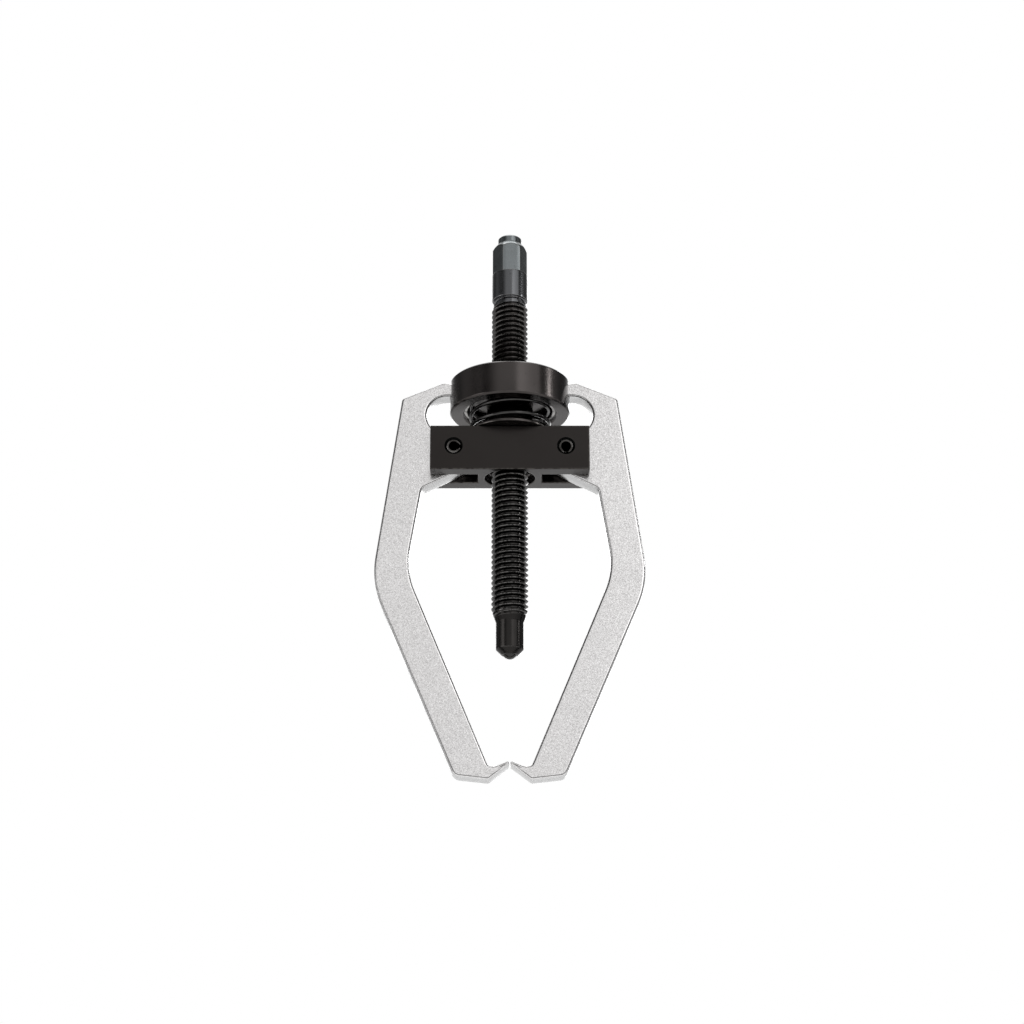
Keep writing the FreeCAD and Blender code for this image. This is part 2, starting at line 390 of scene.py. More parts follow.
def buildMilling():
    # long tool marks along X, as on a drawn or milled bar
    tree, inp, out = newGroup("millingMarks", [("Marks", 2400.0), ("Stretch", 0.04)], ["Height"])
    place = ownPlace(tree)[1]
    join = tree.nodes.new("ShaderNodeCombineXYZ")
    link(tree, mathNode(tree, "MULTIPLY", place["X"], inp.outputs["Stretch"]), join.inputs["X"])
    link(tree, place["Y"], join.inputs["Y"])
    link(tree, place["Z"], join.inputs["Z"])
    marks = noiseNode(tree, join.outputs[0], inp.outputs["Marks"], detail=3.0, rough=0.6)
    link(tree, marks, out.inputs["Height"])
    return tree


def buildWear():
    # rubbed corners, from the mesh's own wear attribute
    tree, inp, out = newGroup("edgeRub", [("Amount", 1.0), ("Breakup", 900.0)], ["Mask"])
    coords = tree.nodes.new("ShaderNodeTexCoord").outputs["Object"]
    attribute = tree.nodes.new("ShaderNodeAttribute")
    attribute.attribute_name = "wear"
    broken = noiseNode(tree, coords, inp.outputs["Breakup"], detail=3.0, rough=0.6)
    edge = mathNode(tree, "MULTIPLY", attribute.outputs["Fac"], rangeNode(tree, broken, 0.32, 0.62))
    link(tree, mathNode(tree, "MULTIPLY", edge, inp.outputs["Amount"], clamp=True), out.inputs["Mask"])
    return tree


def buildBand():
    # 1 above a height on the part, 0 below it
    tree, inp, out = newGroup("heightBand", [("From", 0.0), ("To", 0.001)], ["Mask"])
    place = ownPlace(tree)[1]
    above = rangeNode(tree, place["Z"], inp.outputs["From"], inp.outputs["To"])
    link(tree, above, out.inputs["Mask"])
    return tree


grainGroup = buildGrain()
turningGroup = buildTurning()
millingGroup = buildMilling()
wearGroup = buildWear()
bandGroup = buildBand()


def groupNode(tree, group, values):
    node = tree.nodes.new("ShaderNodeGroup")
    node.node_tree = group
    for label, value in values.items():
        node.inputs[label].default_value = value
    return node


def colourMix(tree, mask, a, b):
    node = tree.nodes.new("ShaderNodeMix")
    node.data_type = "RGBA"
    link(tree, mask, node.inputs[0])
    for index, colour in ((6, a), (7, b)):
        if isinstance(colour, tuple):
            node.inputs[index].default_value = (*colour, 1)
        else:
            link(tree, colour, node.inputs[index])
    return node.outputs[2]


def metalFinish(name, values):
    # one metal: two tones, a rubbed tone on corners, a grain and a directional mark;
    # bands are (low mm, high mm, colour); the fields are (point attribute, colour) pairs of painted shade
    mat = bpy.data.materials.new(name)
    mat.use_nodes = True
    tree = mat.node_tree
    shader = tree.nodes["Principled BSDF"]
    shader.inputs["Metallic"].default_value = 1.0
    grain = groupNode(tree, grainGroup, values["grain"])
    wear = groupNode(tree, wearGroup, values["wear"])
    cloud = rangeNode(tree, grain.outputs["Cloud"], 0.35, 0.65)
    tone = colourMix(tree, cloud, values["colour"], values["colourTwo"])
    for low, high, colour in values.get("bands", []):
        band = groupNode(tree, bandGroup, {"From": low * mm, "To": high * mm})
        tone = colourMix(tree, band.outputs["Mask"], tone, colour)
    if "grainShading" in values:
        # painted shade in the grain's hollows and painted highlights on its tops
        for reach, colour in values["grainShading"]:
            tone = colourMix(tree, rangeNode(tree, grain.outputs["Fine"], *reach), tone, colour)
    tone = colourMix(tree, wear.outputs["Mask"], tone, values["rubbed"])
    # painted shade: each field darkens the tone towards its colour where its point attribute is high
    for label, colour in values.get("shadeFields", []):
        shadeField = tree.nodes.new("ShaderNodeAttribute")
        shadeField.attribute_name = label
        tone = colourMix(tree, rangeNode(tree, shadeField.outputs["Fac"], 0.2, 0.8), tone, colour)
    pitTone = (0.02, 0.02, 0.02)
    pits = mathNode(tree, "MULTIPLY", grain.outputs["Pit"], values["pitDark"])
    tone = colourMix(tree, pits, tone, pitTone)
    link(tree, tone, shader.inputs["Base Color"])
    rough = rangeNode(tree, grain.outputs["Cloud"], 0.3, 0.7, *values["roughness"])
    fineRough = mathNode(tree, "SUBTRACT", grain.outputs["Height"], 0.5)
    fineRough = mathNode(tree, "MULTIPLY", fineRough, values["roughGrain"])
    rough = mathNode(tree, "ADD", rough, fineRough)
    shine = mathNode(tree, "MULTIPLY", wear.outputs["Mask"], values["rubShine"])
    link(tree, mathNode(tree, "SUBTRACT", rough, shine), shader.inputs["Roughness"])
    bump = tree.nodes.new("ShaderNodeBump")
    bump.inputs["Strength"].default_value = values["bump"]
    bump.inputs["Distance"].default_value = values["depth"] * mm
    link(tree, grain.outputs["Height"], bump.inputs["Height"])
    normal = bump.outputs["Normal"]
    if "marks" in values:
        markDepth = 0.02
        group, sizes, strength = values["marks"]
        second = tree.nodes.new("ShaderNodeBump")
        second.inputs["Strength"].default_value = strength
        second.inputs["Distance"].default_value = markDepth * mm
        link(tree, groupNode(tree, group, sizes).outputs["Height"], second.inputs["Height"])
        link(tree, normal, second.inputs["Normal"])
        normal = second.outputs["Normal"]
    link(tree, normal, shader.inputs["Normal"])
    return mat


chromeForged = metalFinish("satinChromeForging", {
    "colour": (0.68, 0.67, 0.667), "colourTwo": (0.64, 0.63, 0.627),
    "rubbed": (0.74, 0.73, 0.73),
    # painted shade and painted highlights on the fine grain
    "grainShading": [((0.50, 0.36), (0.50, 0.49, 0.488)), ((0.56, 0.70), (0.84, 0.83, 0.83))],
    # painted shade: a darker tone on the side walls and a dark band on the rounded rims
    "shadeFields": [("flank", (0.52, 0.52, 0.52)), ("shade", (0.10, 0.10, 0.10))],
    "roughness": (0.20, 0.28), "roughGrain": 0.4, "rubShine": 0.10, "pitDark": 0.2,
    "grain": {"Grain": 2500.0, "Pits": 900.0, "Swell": 70.0},
    "wear": {"Amount": 0.3, "Breakup": 500.0},
    "bump": 0.7, "depth": 0.05})
blackBar = metalFinish("blackenedBar", {
    "colour": (0.0240, 0.0214, 0.0202), "colourTwo": (0.0256, 0.0230, 0.0218),
    "rubbed": (0.095, 0.088, 0.082),
    # painted shade inside the pin hole mouths
    "shadeFields": [("shade", (0.003, 0.003, 0.003))],
    "roughness": (0.30, 0.36), "roughGrain": 0.1, "rubShine": 0.05, "pitDark": 0.2,
    "grain": {"Grain": 3400.0, "Pits": 1000.0, "Swell": 50.0},
    "wear": {"Amount": 0.7, "Breakup": 700.0},
    "bump": 0.14, "depth": 0.02, "marks": (millingGroup, {"Marks": 2400.0, "Stretch": 0.04}, 0.10)})
blackTurned = metalFinish("blackenedTurned", {
    "colour": (0.044, 0.0395, 0.0380), "colourTwo": (0.050, 0.0450, 0.0435),
    "rubbed": (0.14, 0.13, 0.12),
    "roughness": (0.17, 0.23), "roughGrain": 0.10, "rubShine": 0.04, "pitDark": 0.3,
    "grain": {"Grain": 3200.0, "Pits": 1100.0, "Swell": 60.0},
    "wear": {"Amount": 0.6, "Breakup": 700.0},
    "bump": 0.12, "depth": 0.02, "marks": (turningGroup, {"Lines": 5200.0, "Chatter": 900.0}, 0.55)})
blackThread = metalFinish("blackenedThread", {
    "colour": (0.019, 0.018, 0.0175), "colourTwo": (0.024, 0.0225, 0.0215),
    # the rubbed tone on the thread crests is partly real wear and partly painted highlight
    "rubbed": (0.17, 0.165, 0.16),
    "bands": [(132.0, 136.0, (0.036, 0.033, 0.0315)), (160.3, 160.6, (0.092, 0.094, 0.098)),
              (172.3, 172.5, (0.138, 0.150, 0.154))],
    "roughness": (0.16, 0.24), "roughGrain": 0.15, "rubShine": 0.05, "pitDark": 0.3,
    "grain": {"Grain": 3200.0, "Pits": 900.0, "Swell": 120.0},
    "wear": {"Amount": 0.8, "Breakup": 1500.0},
    "bump": 0.2, "depth": 0.02, "marks": (turningGroup, {"Lines": 5200.0, "Chatter": 900.0}, 0.2)})
darkWire = metalFinish("oiledWire", {
    "colour": (0.045, 0.044, 0.043), "colourTwo": (0.036, 0.035, 0.034),
    "rubbed": (0.14, 0.135, 0.13),
    "roughness": (0.13, 0.20), "roughGrain": 0.1, "rubShine": 0.03, "pitDark": 0.3,
    "grain": {"Grain": 3600.0, "Pits": 1100.0, "Swell": 200.0},
    "wear": {"Amount": 0.3, "Breakup": 900.0},
    "bump": 0.15, "depth": 0.02})
pinSteel = metalFinish("oiledSpringPin", {
    "colour": (0.030, 0.028, 0.026), "colourTwo": (0.036, 0.033, 0.031),
    # the rubbed tone on the pin and ring edges is partly real wear and partly painted highlight
    "rubbed": (0.34, 0.33, 0.32),
    "roughness": (0.20, 0.28), "roughGrain": 0.15, "rubShine": 0.06, "pitDark": 0.3,
    "grain": {"Grain": 3600.0, "Pits": 1200.0, "Swell": 300.0},
    "wear": {"Amount": 1.2, "Breakup": 500.0},
    "bump": 0.2, "depth": 0.02})
print("finishes made")

# legs; places are (x, z), corners are (x, z, radius)
pivot = {"x": 18.05, "z": 108.0}
leg = {
    "hole": 2.33, "lobe": 6.6, "notch": (2.35, 13.0), "half": 3.5,
    "edge": 0.8, "draft": 0.04, "arcStep": 7.0, "roundSteps": 40, "past": 2.5,
    "hook": [(-1.85, 0.0, 1.15), (-0.05, 4.1, 1.2), (3.35, 4.9, 2.0)],
    "crown": (17.05, 18.7, 1.5), "shoulder": (10.3, -12.5, 2.5),
    "back": [(43.98, 64.1, 30.0), (17.3, 1.22, 3.0)],
    "claw": [(6.6, 0.0, 1.4), (0.15, 5.0, 0.5), (0.15, 6.05, 0.5), (4.8, 4.3, 3.0), (6.7, 4.45, 1.2)],
    "throat": [(32.9, 67.9, 26.0)],
    "clawTop": 12.0, "clawFrom": 0.6, "clawRun": 2.4, "clawEdge": 0.4,
    # where and how strongly painted shade lies on the rounded rims and the side walls, by the turn of the
    # normal
    "rimShadeTurn": 0.87, "rimShadeRun": 0.08, "rimShadeStrength": 1.4, "flankShadeTurn": 0.3, "flankShadeRun": 0.2,
}


def chainPoints(points):
    # samples a path of (x, z, radius) corners, every corner an arc
    out = [tuple(points[0][:2])]
    for i in range(1, len(points) - 1):
        c = Vector(points[i][:2])
        back = (Vector(points[i - 1][:2]) - c).normalized()
        ahead = (Vector(points[i + 1][:2]) - c).normalized()
        half = back.angle(ahead) / 2
        radius = points[i][2]
        enter = c + back * (radius / math.tan(half))
        centre = c + (back + ahead).normalized() * (radius / math.sin(half))
        leave = c + ahead * (radius / math.tan(half))
        a0 = math.atan2(enter.y - centre.y, enter.x - centre.x)
        a1 = math.atan2(leave.y - centre.y, leave.x - centre.x)
        sweep = (a1 - a0 + math.pi) % (2 * math.pi) - math.pi
        steps = max(3, math.ceil(abs(math.degrees(sweep)) / leg["arcStep"]) * 2)
        out += arcRun(centre, radius, a0, sweep, steps)
    out.append(tuple(points[-1][:2]))
    return out


def legOutline():
    # once round the right leg: notch, hook, back, claw, throat and the lobe at the pivot
    px, pz = pivot["x"], pivot["z"]
    lobe, steps = leg["lobe"], leg["roundSteps"]
    ndx, ndz = leg["notch"]
    span = math.hypot(ndx, ndz)
    notchR = span - lobe
    nx, nz = px + ndx, pz + ndz
    hookZ = nz + notchR
    crownX, crownZ, crownR = leg["crown"]
    shoulderX, shoulderZ, shoulderR = leg["shoulder"]
    sx, sz = px + shoulderX, pz + shoulderZ
    dx, dz = sx - px, sz - pz
    tangent = math.atan2(dz, dx) - math.acos(lobe / math.hypot(dx, dz))
    low = (px + lobe * math.cos(tangent), pz + lobe * math.sin(tangent))
    chain = chainPoints(
        [(nx, hookZ)] + [(px + x, hookZ + z, radius) for x, z, radius in leg["hook"]]
        + [(px + crownX, pz + crownZ, crownR)] + leg["back"] + leg["claw"] + leg["throat"]
        + [(sx, sz, shoulderR), low])
    meet = math.atan2(ndz, ndx)
    chain += arcRun((px, pz), lobe, tangent, meet - 2 * math.pi - tangent, steps)[1:]
    chain += arcRun((nx, nz), notchR, meet - math.pi, 1.5 * math.pi - meet, steps)[1:-1]
    return chain


def spacedOutline(points, longest=2.5, shortest=0.04):
    # drops doubles and splits long runs, so that the forged skin has even faces
    kept = []
    for p in points:
        if not kept or math.hypot(p[0] - kept[-1][0], p[1] - kept[-1][1]) > shortest:
            kept.append(p)
    out = []
    for i, p in enumerate(kept):
        q = kept[(i + 1) % len(kept)]
        dx, dz = q[0] - p[0], q[1] - p[1]
        steps = max(1, math.ceil(math.hypot(dx, dz) / longest))
        out += [(p[0] + dx * k / steps, p[1] + dz * k / steps) for k in range(steps)]
    return out


def edgeProfile(half, edge, draft, steps=6, margin=0.25):
    # (level, inset) from the front face to the rear one, corners rounded
    front = [(-half, draft + edge + margin)]
    for k in range(steps + 1):
        turn = math.pi / 2 * k / steps
        front.append((-half + edge * (1 - math.cos(turn)), draft + edge * (1 - math.sin(turn))))
    return front + [(0.0, 0.0)] + [(-y, inset) for y, inset in reversed(front)]


def makeLeg(name, side):
    # the claw's tip is finer than the forging, so its edges are rounded less there
    outline = spacedOutline(legOutline())
    share = []
    for x, z in outline:
        t = min(1.0, max(0.0, (x - leg["clawFrom"]) / leg["clawRun"]))
        grown = leg["clawEdge"] + (1 - leg["clawEdge"]) * t * t * (3 - 2 * t)
        share.append(grown if z < leg["clawTop"] else 1.0)
    outline = [(side * x, z) for x, z in outline]
    obj = slab(name, outline, edgeProfile(leg["half"], leg["edge"], leg["draft"]), insetScale=share)
    hole = leg["hole"]
    reach = leg["half"] + leg["past"]
    shape = [(0, -reach), (hole, -reach), (hole, reach), (0, reach)]
    carved(obj, [drum(shape, side * pivot["x"], pivot["z"])])
    dress(obj, chromeForged, sharp=50.0)
    # painted shade: a dark band on the rounded rim, where the edge has turned about 30 degrees from the
    # face
    markField(obj.data, "shade", lambda co, normal: (
        leg["rimShadeStrength"] - abs(abs(normal.y) - leg["rimShadeTurn"]) / leg["rimShadeRun"]))
    # painted shade: the side walls, facing across Y, get a darker tone so that they don't shine white at
    # grazing angles
    markField(obj.data, "flank", lambda co, normal: (
        1.0 - (abs(normal.y) - leg["flankShadeTurn"]) / leg["flankShadeRun"]))
    return obj


legs = {"rightLegForging": (1, "right_leg"), "leftLegForging": (-1, "left_leg")}
for name, (side, body) in legs.items():
    piece = makeLeg(name, side)
    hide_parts(body)
    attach(piece, body)
print("legs made")

# crosshead
head = {
    "halfLength": 25.6, "halfDepth": 9.0, "low": 100.0, "high": 115.0, "bevel": 0.45,
    "slotEnd": 10.3, "slotHalf": 3.8, "pinR": 2.26, "mouth": 0.6,
    "boreR": 7.51, "flangeR": 8.1, "flangeHigh": 103.6, "past": 2.0,
}


def makeHead():
    h = head
    obj = box(-h["halfLength"], h["halfLength"], -h["halfDepth"], h["halfDepth"], h["low"], h["high"])
    obj.name = "crossheadBlock"
    under = h["low"] - h["past"]
    over = h["high"] + h["past"]
    cutters = []
    for side in (-1, 1):
        ends = sorted((side * h["slotEnd"], side * (h["halfLength"] + h["past"])))
        cutters.append(box(*ends, -h["slotHalf"], h["slotHalf"], under, over))
    cutters.append(post(h["boreR"], under, over))
    cutters.append(post(h["flangeR"], under, h["flangeHigh"]))
    carved(obj, cutters)
    bevelled(obj, h["bevel"])
    # the pin holes open outward at both faces
    flare = 1.0
    small = h["pinR"]
    wide = small + h["mouth"] + flare
    depth = h["halfDepth"] - h["mouth"]
    out = h["halfDepth"] + flare
    shape = [(0, -out), (wide, -out), (small, -depth), (small, depth), (wide, out), (0, out)]
    carved(obj, [drum(shape, side * pivot["x"], pivot["z"], 64) for side in (-1, 1)])
    dress(obj, blackBar, sharp=35.0, hem=True)
    # painted shade: the pin hole mouths are darkened inside, where shade falls in the recess
    hair = 0.02
    dark = h["pinR"] + h["mouth"] + hair
    markField(obj.data, "shade", lambda co, normal: (
        1.0 if math.hypot(abs(co.x) - pivot["x"], co.z - pivot["z"]) < dark else 0.0))
    return obj


piece = makeHead()
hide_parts("crosshead")
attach(piece, "crosshead")
print("crosshead made")

# pivot pins
pin = {
    "outer": 2.25, "wall": 0.85, "slit": 1.1, "half": 8.7, "edge": 0.22,
    "outerSteps": 60, "innerSteps": 40,
}


def splitRing(outer, inner, slit, turn, outerSteps, innerSteps):
    # outline of a ring with a slit at the angle turn
    outerHalf = math.asin(slit / 2 / outer)
    innerHalf = math.asin(slit / 2 / inner)
    outside = arcRun((0, 0), outer, turn + outerHalf, 2 * math.pi - 2 * outerHalf, outerSteps)
    return outside + arcRun((0, 0), inner, turn - innerHalf, 2 * innerHalf - 2 * math.pi, innerSteps)


for name, side, turn, node in (("leftSpringPin", -1, 0.0, "left_pivot_pin"),
                               ("rightSpringPin", 1, -math.pi / 2, "right_pivot_pin")):
    outline = splitRing(
        pin["outer"], pin["outer"] - pin["wall"], pin["slit"], turn, pin["outerSteps"], pin["innerSteps"])
    profile = edgeProfile(pin["half"], pin["edge"], 0.0, 4)[1:-1]
    piece = slab(name, outline, profile, centre=(side * pivot["x"], pivot["z"]))
    dress(piece, pinSteel, sharp=40.0)
    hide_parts(node)
    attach(piece, "crosshead")
print("pins made")

# bush, washer, closing ring, retaining ring
bush = {
    "outer": 7.5, "flange": 8.0, "low": 102.0, "flangeHigh": 103.6, "high": 137.5, "bore": 6.3,
    "nut": 5.99, "nutHigh": 120.0, "bevel": 0.6, "edge": 0.15,
}


def makeBush():
    # nut is the close bore over the thread, bore the wide one above it
    b = bush
    e = b["bevel"]
    profile = roundedCorner([
        (b["nut"], b["nutHigh"]), (b["nut"], b["low"] + e), (b["nut"] + e, b["low"]),
        (b["flange"], b["low"]), (b["flange"], b["flangeHigh"]), (b["outer"], b["flangeHigh"]),
        (b["outer"], b["high"] - e), (b["outer"] - e, b["high"]), (b["bore"], b["high"]),
        (b["bore"], b["nutHigh"])], b["edge"], 3)
    obj = turned("threadedBush", profile, closed=True)
    dress(obj, blackTurned, sharp=40.0, hem=True)
    return obj


piece = makeBush()
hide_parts("threaded_bush")
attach(piece, "crosshead")

washer = {"inner": 7.7, "outer": 13.5, "low": 115.0, "high": 115.8, "edge": 0.12}


def makeWasher():
    w = washer
    middle = (w["low"] + w["high"]) / 2
    profile = roundedCorner([
        (w["inner"], middle), (w["inner"], w["low"]), (w["outer"], w["low"]), (w["outer"], w["high"]),
        (w["inner"], w["high"]), (w["inner"], middle)], w["edge"], 2)
    obj = turned("springWasher", profile[:-1], closed=True)
    dress(obj, blackTurned, sharp=40.0, hem=True)
    return obj


piece = makeWasher()
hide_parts("spring_washer")
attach(piece, "crosshead")

ring = {
    "bore": 7.6, "cup": 14.9, "outer": 19.5, "low": 122.2, "high": 133.25, "roof": 125.61,
    "slotHalf": 4.0, "slotFloor": 127.31, "edge": 0.5, "bevel": 0.22, "past": 2.0,
    "grooveLow": 123.1, "grooveHigh": 124.1, "groove": 15.4,
}


def makeRing():
    r = ring
    e = r["edge"]
    obj = turned("closingRing", [
        (r["bore"], r["roof"]), (r["cup"], r["roof"]), (r["cup"], r["grooveHigh"]),
        (r["groove"], r["grooveHigh"]), (r["groove"], r["grooveLow"]), (r["cup"], r["grooveLow"]),
        (r["cup"], r["low"] + e), (r["cup"] + e, r["low"]),
        (r["outer"] - e, r["low"]), (r["outer"], r["low"] + e),
        (r["outer"], r["high"] - e), (r["outer"] - e, r["high"]),
        (r["bore"] + e, r["high"]), (r["bore"], r["high"] - e)], segments=160, closed=True)
    end = r["outer"] + r["past"]
    carved(obj, [box(-end, end, -r["slotHalf"], r["slotHalf"], r["slotFloor"], r["high"] + r["past"])])
    bevelled(obj, r["bevel"], segments=2, angle=34.0)
    dress(obj, blackTurned, sharp=36.0, hem=True)
    return obj


piece = makeRing()
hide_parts("closing_ring")
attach(piece, "ring")

snap = {
    "outer": 15.35, "inner": 13.9, "gap": 6.0, "low": 123.15, "high": 124.05, "edge": 0.15,
    "steps": 120,
}


def makeSnap():
    s = snap
    outline = splitRing(s["outer"], s["inner"], s["gap"], math.pi / 2, s["steps"], s["steps"])
    profile = [
        (s["low"], s["edge"]), (s["low"] + s["edge"], 0),
        (s["high"] - s["edge"], 0), (s["high"], s["edge"])]
    obj = slab("retainingRing", outline, profile, axis="Z")
    dress(obj, pinSteel, sharp=40.0)
    return obj


piece = makeSnap()
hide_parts("spring_retaining_ring")
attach(piece, "ring")
print("ring and bush made")


# geometry node helpers
def nodeTree(name, inputs):
    tree = bpy.data.node_groups.new(name, "GeometryNodeTree")
    for label, kind, value in inputs:
        socket = tree.interface.new_socket(label, in_out="INPUT", socket_type=kind)
        if value is not None:
            socket.default_value = value
    tree.interface.new_socket("Geometry", in_out="OUTPUT", socket_type="NodeSocketGeometry")
    return tree, tree.nodes.new("NodeGroupInput"), tree.nodes.new("NodeGroupOutput")


def ramp(tree, value, low, high, toLow, toHigh):
    return rangeNode(tree, value, low, high, toLow, toHigh, curve="LINEAR")


def joined(tree, radius, angle, z):
    # a place from its radius, angle and height
    join = tree.nodes.new("ShaderNodeCombineXYZ")
    link(tree, mathNode(tree, "MULTIPLY", radius, mathNode(tree, "COSINE", angle)), join.inputs["X"])
    link(tree, mathNode(tree, "MULTIPLY", radius, mathNode(tree, "SINE", angle)), join.inputs["Y"])
    link(tree, z, join.inputs["Z"])
    return join.outputs[0]


def moved(tree, geometry, place):
    move = tree.nodes.new("GeometryNodeSetPosition")
    link(tree, geometry, move.inputs["Geometry"])
    link(tree, place, move.inputs["Position"])
    return move.outputs[0]


def runTree(obj, tree, values):
    modifier = obj.modifiers.new(tree.name, "NODES")
    modifier.node_group = tree
    for item in tree.interface.items_tree:
        if item.in_out == "INPUT" and item.name in values:
            modifier[item.identifier] = values[item.name]
    evaluated(obj)


def closeTree(tree, geometry, out, materialSocket):
    realize = tree.nodes.new("GeometryNodeRealizeInstances")
    setMaterial = tree.nodes.new("GeometryNodeSetMaterial")
    link(tree, geometry, realize.inputs[0])
    link(tree, realize.outputs[0], setMaterial.inputs["Geometry"])
    link(tree, materialSocket, setMaterial.inputs["Material"])
    link(tree, setMaterial.outputs[0], out.inputs[0])


# spindle
screw = {
    "segments": 60, "profileSteps": 10, "pitch": 1.75, "crest": 5.93, "root": 4.88,
    "crestFlat": 0.12, "rootFlat": 0.8, "threadLow": 55.5,
    "relief": 5.4, "reliefLow": 160.4, "reliefRun": 0.4,
    "pin": 4.45, "pinTop": 51.25, "tip": 40.6, "tipR": 2.6, "tipHigh": 42.4, "tipEdge": 0.25,
    "ball": 2.5, "ballZ": 41.8, "seat": 2.55, "seatFrom": 88.0,
    "collar": 5.875, "collarLow": 162.9, "collarEdge": 0.3,
    "hexLow": 172.4, "flats": 10.0, "turn": 6.0, "cornerBreak": 0.05, "coneLow": 181.5,
    "stub": 3.9, "stubLow": 183.8, "stubBevel": 0.5, "stubEdge": 0.12, "top": 186.1,
}


def buildThreadTree():
    # a grid rolled up along a helix; across is the place within one pitch
    tree, inp, out = nodeTree("screwThread", [
        ("Turns", "NodeSocketInt", 64), ("Segments", "NodeSocketInt", 60),
        ("Profile Steps", "NodeSocketInt", 10), ("Start", "NodeSocketFloat", 0.0),
        ("Pitch", "NodeSocketFloat", 0.00175), ("Crest", "NodeSocketFloat", 0.006),
        ("Root", "NodeSocketFloat", 0.005), ("Pin", "NodeSocketFloat", 0.004),
        ("Low", "NodeSocketFloat", 0.0), ("Taper", "NodeSocketFloat", 0.01),
        ("Relief Start", "NodeSocketFloat", 0.1), ("Relief Run", "NodeSocketFloat", 0.0004),
        ("Relief", "NodeSocketFloat", 0.0054), ("High", "NodeSocketFloat", 0.11),
        ("Crest Flat", "NodeSocketFloat", 0.12), ("Root Flat", "NodeSocketFloat", 0.8),
        ("Material", "NodeSocketMaterial", None)])
    o = inp.outputs
    grid = tree.nodes.new("GeometryNodeMeshGrid")
    grid.inputs["Size X"].default_value = 1.0
    grid.inputs["Size Y"].default_value = 1.0
    along = mathNode(tree, "ADD", mathNode(tree, "MULTIPLY", o["Turns"], o["Segments"]), 1.0)
    link(tree, along, grid.inputs["Vertices X"])
    link(tree, mathNode(tree, "ADD", o["Profile Steps"], 1.0), grid.inputs["Vertices Y"])
    place = tree.nodes.new("GeometryNodeInputPosition")
    split = tree.nodes.new("ShaderNodeSeparateXYZ")
    link(tree, place.outputs[0], split.inputs[0])
    turns = mathNode(tree, "MULTIPLY", mathNode(tree, "ADD", split.outputs["X"], 0.5), o["Turns"])
    across = mathNode(tree, "ADD", split.outputs["Y"], 0.5)
    # depth of the groove over one pitch: crest, flank, root, flank
    swing = mathNode(tree, "SUBTRACT", mathNode(tree, "MULTIPLY", across, 2.0), 1.0)
    tent = mathNode(tree, "SUBTRACT", 1.0, mathNode(tree, "ABSOLUTE", swing))
    cut = ramp(tree, tent, o["Crest Flat"], o["Root Flat"], o["Crest"], o["Root"])
    rise = mathNode(tree, "MULTIPLY", o["Pitch"], mathNode(tree, "ADD", turns, across))
    rawZ = mathNode(tree, "ADD", o["Start"], rise)
    z = mathNode(tree, "MINIMUM", mathNode(tree, "MAXIMUM", rawZ, o["Low"]), o["High"])
    lowEnd = ramp(tree, z, o["Low"], o["Taper"], o["Pin"], o["Crest"])
    fadeLow = mathNode(tree, "SUBTRACT", o["Relief Start"], o["Relief Run"])
    highEnd = ramp(tree, z, fadeLow, o["Relief Start"], o["Crest"], o["Relief"])
    radius = mathNode(tree, "MINIMUM", cut, mathNode(tree, "MINIMUM", lowEnd, highEnd))
    # what would rise past the end lies on the collar's foot, at the relief's radius
    hair = 0.00001
    past = ramp(tree, rawZ, o["High"], mathNode(tree, "ADD", o["High"], hair), 0.0, 1.0)
    back = mathNode(tree, "MULTIPLY", past, mathNode(tree, "SUBTRACT", o["Relief"], radius))
    radius = mathNode(tree, "ADD", radius, back)
    angle = mathNode(tree, "MULTIPLY", mathNode(tree, "FRACT", turns), 2 * math.pi)
    thread = moved(tree, grid.outputs["Mesh"], joined(tree, radius, angle, z))
    closeTree(tree, thread, out, o["Material"])
    return tree


def hexRadius(angle, flats, turn):
    corner = (math.degrees(angle) - turn) % 60.0 - 30.0
    return flats / 2 / math.cos(math.radians(corner))


def seatAndPin():
    # ball seat, tip chamfer and plain end
    s = screw
    centre = (0, s["ballZ"])
    crown = math.radians(s["seatFrom"])
    mouth = math.asin((s["ballZ"] - s["tip"]) / s["seat"])
    points = [(0, s["ballZ"] + s["seat"])]
    points += arcRun(centre, s["seat"], crown, -crown, 8)[1:]
    points += arcRun(centre, s["seat"], 0.0, -mouth, 5)[1:]
    lip, shank = 0.3, 3.0
    outer = roundedCorner([
        (s["tipR"] - lip, s["tip"]), (s["tipR"], s["tip"]), (s["pin"], s["tipHigh"]),
        (s["pin"], s["pinTop"] - shank)], s["tipEdge"], 3)
    return points + outer[1:] + [(s["pin"], s["pinTop"])]


